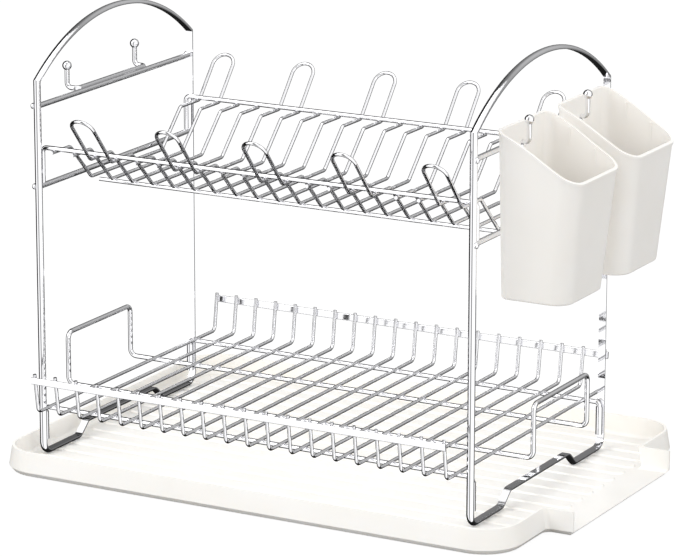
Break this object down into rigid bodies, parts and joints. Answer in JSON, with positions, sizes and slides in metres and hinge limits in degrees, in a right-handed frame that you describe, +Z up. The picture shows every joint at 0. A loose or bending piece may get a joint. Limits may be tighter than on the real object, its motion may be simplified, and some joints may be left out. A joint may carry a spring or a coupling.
{
  "type": "dish drying rack",
  "caption": "Two-tier chrome dish drying rack on a white plastic drip tray with an open spout, and white plastic cutlery cups hanging from hooks at one end",
  "frame": {"origin": "on the surface the tray stands on, midway between the two side frames and midway between their posts", "axes": "+X along the rack towards the cups and the tray's spout, +Y to the rear, +Z up"},
  "size_m": [0.4987, 0.3422, 0.3686],
  "materials": {
    "chrome": "polished",
    "tray_plastic": "satin",
    "cup_plastic": "satin"
  },
  "bodies": {
    "tray": {"drip_tray": "tray_plastic"},
    "frames": {"left_side_frame": "chrome", "right_side_frame": "chrome", "left_lower_crossbar": "chrome", "right_lower_crossbar": "chrome", "left_upper_crossbar": "chrome", "right_upper_crossbar": "chrome", "left_hook_rail": "chrome", "right_hook_rail": "chrome", "hook_balls": "chrome", "crossbar_screws": "chrome", "leg_sleeves": "chrome"},
    "lower_basket": {"lower_wire_01": "chrome", "lower_wire_02": "chrome", "lower_wire_03": "chrome", "lower_wire_04": "chrome", "lower_wire_05": "chrome", "lower_wire_06": "chrome", "lower_wire_07": "chrome", "lower_wire_08": "chrome", "lower_wire_09": "chrome", "lower_wire_10": "chrome", "lower_wire_11": "chrome", "lower_wire_12": "chrome", "lower_wire_13": "chrome", "lower_wire_14": "chrome", "lower_wire_15": "chrome", "lower_wire_16": "chrome", "lower_wire_17": "chrome", "lower_wire_18": "chrome", "lower_wire_19": "chrome", "lower_wire_20": "chrome", "lower_front_band": "chrome", "lower_rear_band": "chrome", "lower_front_leg_wire": "chrome", "lower_rear_leg_wire": "chrome", "lower_handle_wire": "chrome"},
    "upper_basket": {"upper_front_rail": "chrome", "upper_rear_rail": "chrome", "upper_bottom_runner": "chrome", "upper_front_loop_wire_1": "chrome", "upper_front_loop_wire_2": "chrome", "upper_front_loop_wire_3": "chrome", "upper_front_loop_wire_4": "chrome", "upper_front_loop_wire_5": "chrome", "upper_rear_loop_wire_1": "chrome", "upper_rear_loop_wire_2": "chrome", "upper_rear_loop_wire_3": "chrome", "upper_rear_loop_wire_4": "chrome", "upper_rear_loop_wire_5": "chrome"},
    "front_cup": {"utensil_cup_front": "cup_plastic"},
    "rear_cup": {"utensil_cup_rear": "cup_plastic"}
  },
  "joints": [
    {"name": "frames_lift", "type": "slide", "parent": "tray", "child": "frames", "axis": [0, 0, 1], "range_m": [0, 0.06]},
    {"name": "lower_basket_lift", "type": "slide", "parent": "frames", "child": "lower_basket", "axis": [0, 0, 1], "range_m": [0, 0.06]},
    {"name": "upper_basket_lift", "type": "slide", "parent": "frames", "child": "upper_basket", "axis": [0, 0, 1], "range_m": [0, 0.028]},
    {"name": "front_cup_lift", "type": "slide", "parent": "frames", "child": "front_cup", "axis": [0, 0, 1], "range_m": [0, 0.008]},
    {"name": "rear_cup_lift", "type": "slide", "parent": "frames", "child": "rear_cup", "axis": [0, 0, 1], "range_m": [0, 0.008]}
  ]
}
